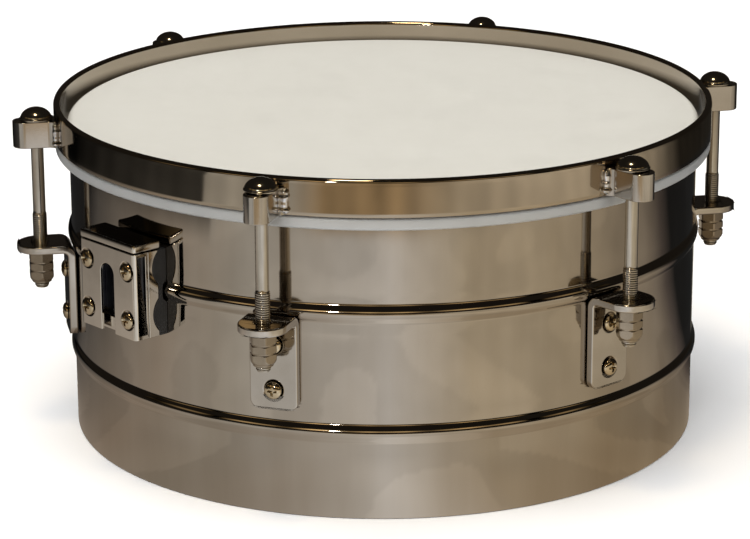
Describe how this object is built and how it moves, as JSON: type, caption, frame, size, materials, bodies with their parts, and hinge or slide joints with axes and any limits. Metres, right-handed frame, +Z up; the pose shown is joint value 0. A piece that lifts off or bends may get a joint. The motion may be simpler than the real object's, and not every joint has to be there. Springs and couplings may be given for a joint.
{
  "type": "timbale drum",
  "caption": "Shallow single-headed drum with an open bottom: beaded metal shell, hoop drawn down by bolts and nuts on bent brackets, and a stand mount on a rubber pad.",
  "frame": {"origin": "on the drum's axis, at the plane of its open bottom edge", "axes": "+Z up along the drum's axis, towards the playing surface; the stand mount faces the -X -Y quarter, 44.5 degrees round from -Y"},
  "size_m": [0.4068, 0.4068, 0.1907],
  "materials": {
    "nickel_steel": "mirror-polished black-nickel plating on steel",
    "fastener_steel": "bright warm nickel plating on steel",
    "nut_steel": "satin nickel plating on steel",
    "satin_aluminium": "satin, as rolled",
    "coated_film": "thin sprayed coating, slightly rough",
    "black_rubber": "moulded, dull",
    "zinc_steel": "zinc plated"
  },
  "bodies": {
    "drum": {"shell": "nickel_steel", "head_film": "coated_film", "bracket_1": "nickel_steel", "backing_plate_1": "zinc_steel", "bracket_screw_1_low": "fastener_steel", "bracket_screw_1_high": "fastener_steel", "bracket_2": "nickel_steel", "backing_plate_2": "zinc_steel", "bracket_screw_2_low": "fastener_steel", "bracket_screw_2_high": "fastener_steel", "bracket_3": "nickel_steel", "backing_plate_3": "zinc_steel", "bracket_screw_3_low": "fastener_steel", "bracket_screw_3_high": "fastener_steel", "bracket_4": "nickel_steel", "backing_plate_4": "zinc_steel", "bracket_screw_4_low": "fastener_steel", "bracket_screw_4_high": "fastener_steel", "bracket_5": "nickel_steel", "backing_plate_5": "zinc_steel", "bracket_screw_5_low": "fastener_steel", "bracket_screw_5_high": "fastener_steel", "bracket_6": "nickel_steel", "backing_plate_6": "zinc_steel", "bracket_screw_6_low": "fastener_steel", "bracket_screw_6_high": "fastener_steel", "mount_pad": "black_rubber", "mount_backing_plate": "zinc_steel", "mount_bolt_low": "fastener_steel", "mount_bolt_high": "fastener_steel", "mount_carrier": "nickel_steel", "mount_face": "nickel_steel", "mount_cap": "nickel_steel", "face_screw_left_low": "fastener_steel", "face_screw_left_high": "fastener_steel", "face_screw_right_low": "fastener_steel", "face_screw_right_high": "fastener_steel"},
    "hoop_assembly": {"counter_hoop": "nickel_steel", "flesh_hoop": "satin_aluminium", "ear_1": "nickel_steel", "ear_2": "nickel_steel", "ear_3": "nickel_steel", "ear_4": "nickel_steel", "ear_5": "nickel_steel", "ear_6": "nickel_steel", "tension_rod_1": "fastener_steel", "tension_rod_2": "fastener_steel", "tension_rod_3": "fastener_steel", "tension_rod_4": "fastener_steel", "tension_rod_5": "fastener_steel", "tension_rod_6": "fastener_steel"},
    "nut_1": {"tuning_nut_1": "nut_steel"},
    "nut_2": {"tuning_nut_2": "nut_steel"},
    "nut_3": {"tuning_nut_3": "nut_steel"},
    "nut_4": {"tuning_nut_4": "nut_steel"},
    "nut_5": {"tuning_nut_5": "nut_steel"},
    "nut_6": {"tuning_nut_6": "nut_steel"}
  },
  "joints": [
    {"name": "hoop_tension", "type": "slide", "parent": "drum", "child": "hoop_assembly", "axis": [0, 0, 1], "range_m": [-0.004, 0.0025]},
    {"name": "nut_1_turn", "type": "hinge", "parent": "drum", "child": "nut_1", "pos_m": [-0.05086, -0.1898, 0.0976], "axis": [0, 0, 1], "range_deg": [-725, 1160]},
    {"name": "nut_2_turn", "type": "hinge", "parent": "drum", "child": "nut_2", "pos_m": [0.13895, -0.13895, 0.0976], "axis": [0, 0, 1], "range_deg": [-725, 1160]},
    {"name": "nut_3_turn", "type": "hinge", "parent": "drum", "child": "nut_3", "pos_m": [0.1898, 0.05086, 0.0976], "axis": [0, 0, 1], "range_deg": [-725, 1160]},
    {"name": "nut_4_turn", "type": "hinge", "parent": "drum", "child": "nut_4", "pos_m": [0.05086, 0.1898, 0.0976], "axis": [0, 0, 1], "range_deg": [-725, 1160]},
    {"name": "nut_5_turn", "type": "hinge", "parent": "drum", "child": "nut_5", "pos_m": [-0.13895, 0.13895, 0.0976], "axis": [0, 0, 1], "range_deg": [-725, 1160]},
    {"name": "nut_6_turn", "type": "hinge", "parent": "drum", "child": "nut_6", "pos_m": [-0.1898, -0.05086, 0.0976], "axis": [0, 0, 1], "range_deg": [-725, 1160]}
  ],
  "couplings": [
    {"joint": "nut_1_turn", "follows": "hoop_tension", "rad_per_m": -5026.5},
    {"joint": "nut_2_turn", "follows": "hoop_tension", "rad_per_m": -5026.5},
    {"joint": "nut_3_turn", "follows": "hoop_tension", "rad_per_m": -5026.5},
    {"joint": "nut_4_turn", "follows": "hoop_tension", "rad_per_m": -5026.5},
    {"joint": "nut_5_turn", "follows": "hoop_tension", "rad_per_m": -5026.5},
    {"joint": "nut_6_turn", "follows": "hoop_tension", "rad_per_m": -5026.5}
  ]
}
